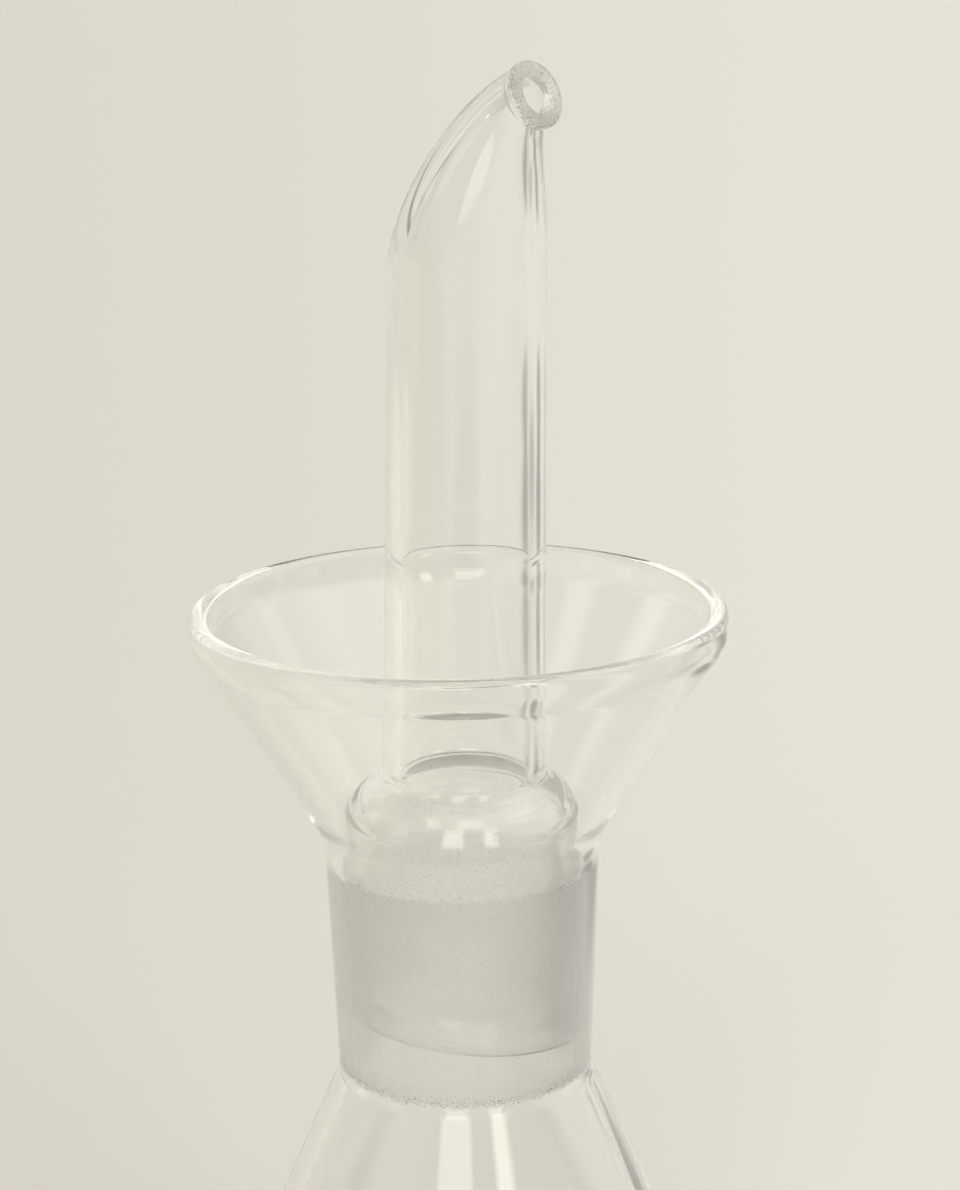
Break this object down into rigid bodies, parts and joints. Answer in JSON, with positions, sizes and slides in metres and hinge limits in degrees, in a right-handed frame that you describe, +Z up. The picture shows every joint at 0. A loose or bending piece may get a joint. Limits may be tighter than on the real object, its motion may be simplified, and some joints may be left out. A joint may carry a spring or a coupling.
{
  "type": "glass cruet",
  "caption": "Glass oil cruet: a conical flask with a drip-catching funnel rim, and a hollow ground stopper drawn into a bent pouring tube.",
  "frame": {"origin": "on the flask's axis, in the plane that it stands on", "axes": "+Z up along the flask's axis, +X the way the beak points"},
  "size_m": [0.0918, 0.0918, 0.1992],
  "materials": {
    "glass": "clear and fire-polished, ground matt where the stopper sits in the neck"
  },
  "bodies": {
    "root": {"bottle": "glass", "pourer": "glass"}
  },
  "joints": []
}
